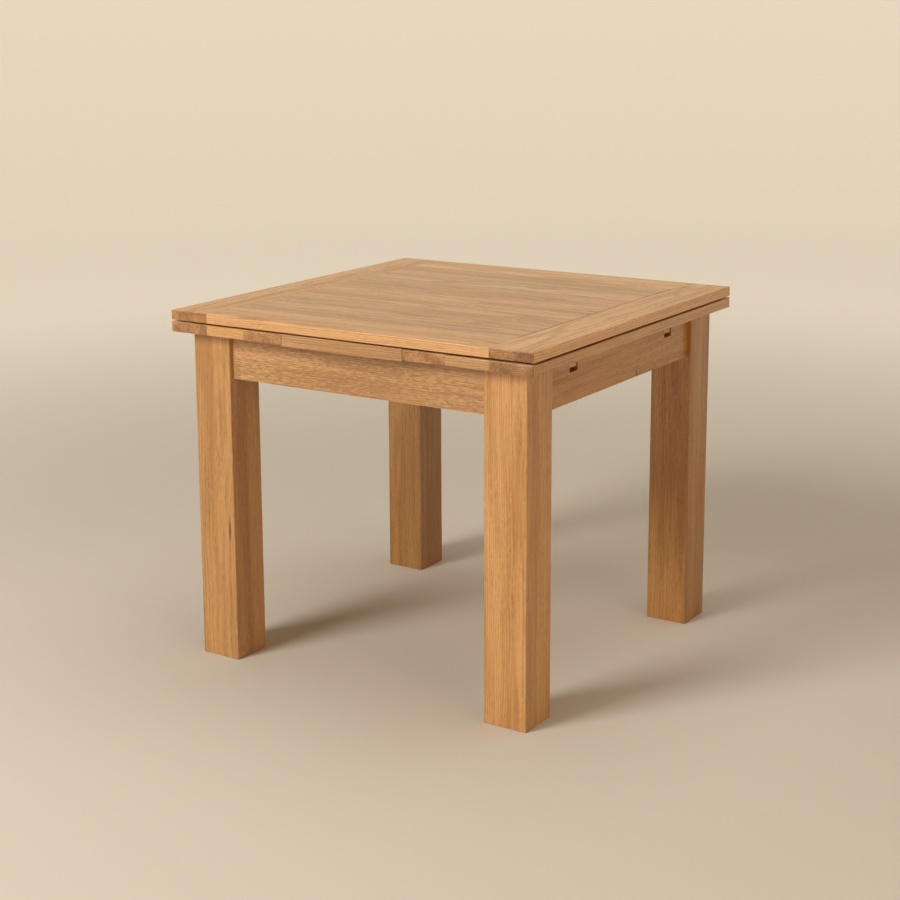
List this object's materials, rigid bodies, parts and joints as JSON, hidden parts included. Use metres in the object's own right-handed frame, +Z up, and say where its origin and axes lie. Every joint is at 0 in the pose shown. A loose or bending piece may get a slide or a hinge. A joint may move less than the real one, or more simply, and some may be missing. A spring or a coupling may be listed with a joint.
{
  "type": "draw-leaf table",
  "caption": "Square oak dining table with a floating framed top over a pull-out leaf at each end, each leaf sliding on runners notched into the side aprons.",
  "frame": {"origin": "on the floor, under the middle of the closed table", "axes": "+X the way the right leaf slides out, +Y to the back, +Z up"},
  "size_m": [0.9, 0.9, 0.78],
  "materials": {
    "oak_legs": "satin lacquered oak",
    "oak_aprons": "satin lacquered oak",
    "oak_top": "satin lacquered oak",
    "oak_leaves": "satin lacquered oak",
    "oak_centre_board": "satin lacquered oak",
    "hardwood_runners": "planed and waxed",
    "oak_inside": "planed, unfinished",
    "rubber_buffers": "matt moulded rubber",
    "zinc_plated_steel": "zinc plated"
  },
  "bodies": {
    "frame": {"leg_front_left": "oak_legs", "leg_front_right": "oak_legs", "leg_back_left": "oak_legs", "leg_back_right": "oak_legs", "apron_front": "oak_aprons", "apron_back": "oak_aprons", "apron_left": "oak_aprons", "apron_right": "oak_aprons", "cross_rail": "oak_inside", "corner_block_front_left": "oak_inside", "corner_block_front_right": "oak_inside", "corner_block_back_left": "oak_inside", "corner_block_back_right": "oak_inside", "leg_bolts": "zinc_plated_steel", "leg_washers": "zinc_plated_steel", "leg_nuts": "zinc_plated_steel", "corner_block_screws": "zinc_plated_steel", "apron_dowels": "oak_inside", "cross_rail_dowels": "oak_inside", "centre_board_front_rail": "oak_centre_board", "centre_board_panel": "oak_centre_board", "centre_board_back_rail": "oak_centre_board", "board_brackets": "zinc_plated_steel", "bracket_screws": "zinc_plated_steel", "top_buffers": "rubber_buffers"},
    "top": {"top_left_stile": "oak_top", "top_right_stile": "oak_top", "top_front_rail": "oak_top", "top_back_rail": "oak_top", "top_plank_1": "oak_top", "top_plank_2": "oak_top", "top_plank_3": "oak_top", "top_plank_4": "oak_top", "top_plank_5": "oak_top", "top_plank_6": "oak_top", "top_plank_7": "oak_top", "guide_pegs": "oak_inside"},
    "left_leaf": {"left_leaf_outer_stile": "oak_leaves", "left_leaf_inner_stile": "oak_leaves", "left_leaf_front_rail": "oak_leaves", "left_leaf_back_rail": "oak_leaves", "left_leaf_panel": "oak_leaves", "left_leaf_runner_front": "hardwood_runners", "left_leaf_runner_back": "hardwood_runners", "left_leaf_stop_pegs": "oak_inside", "left_leaf_screws": "zinc_plated_steel"},
    "right_leaf": {"right_leaf_outer_stile": "oak_leaves", "right_leaf_inner_stile": "oak_leaves", "right_leaf_front_rail": "oak_leaves", "right_leaf_back_rail": "oak_leaves", "right_leaf_panel": "oak_leaves", "right_leaf_runner_front": "hardwood_runners", "right_leaf_runner_back": "hardwood_runners", "right_leaf_stop_pegs": "oak_inside", "right_leaf_screws": "zinc_plated_steel"}
  },
  "joints": [
    {"name": "left_leaf_draw", "type": "slide", "parent": "frame", "child": "left_leaf", "axis": [-1, 0, 0], "range_m": [0, 0.3]},
    {"name": "right_leaf_draw", "type": "slide", "parent": "frame", "child": "right_leaf", "axis": [1, 0, 0], "range_m": [0, 0.3]},
    {"name": "top_lift", "type": "slide", "parent": "frame", "child": "top", "axis": [0, 0, 1], "range_m": [0, 0.025]}
  ]
}
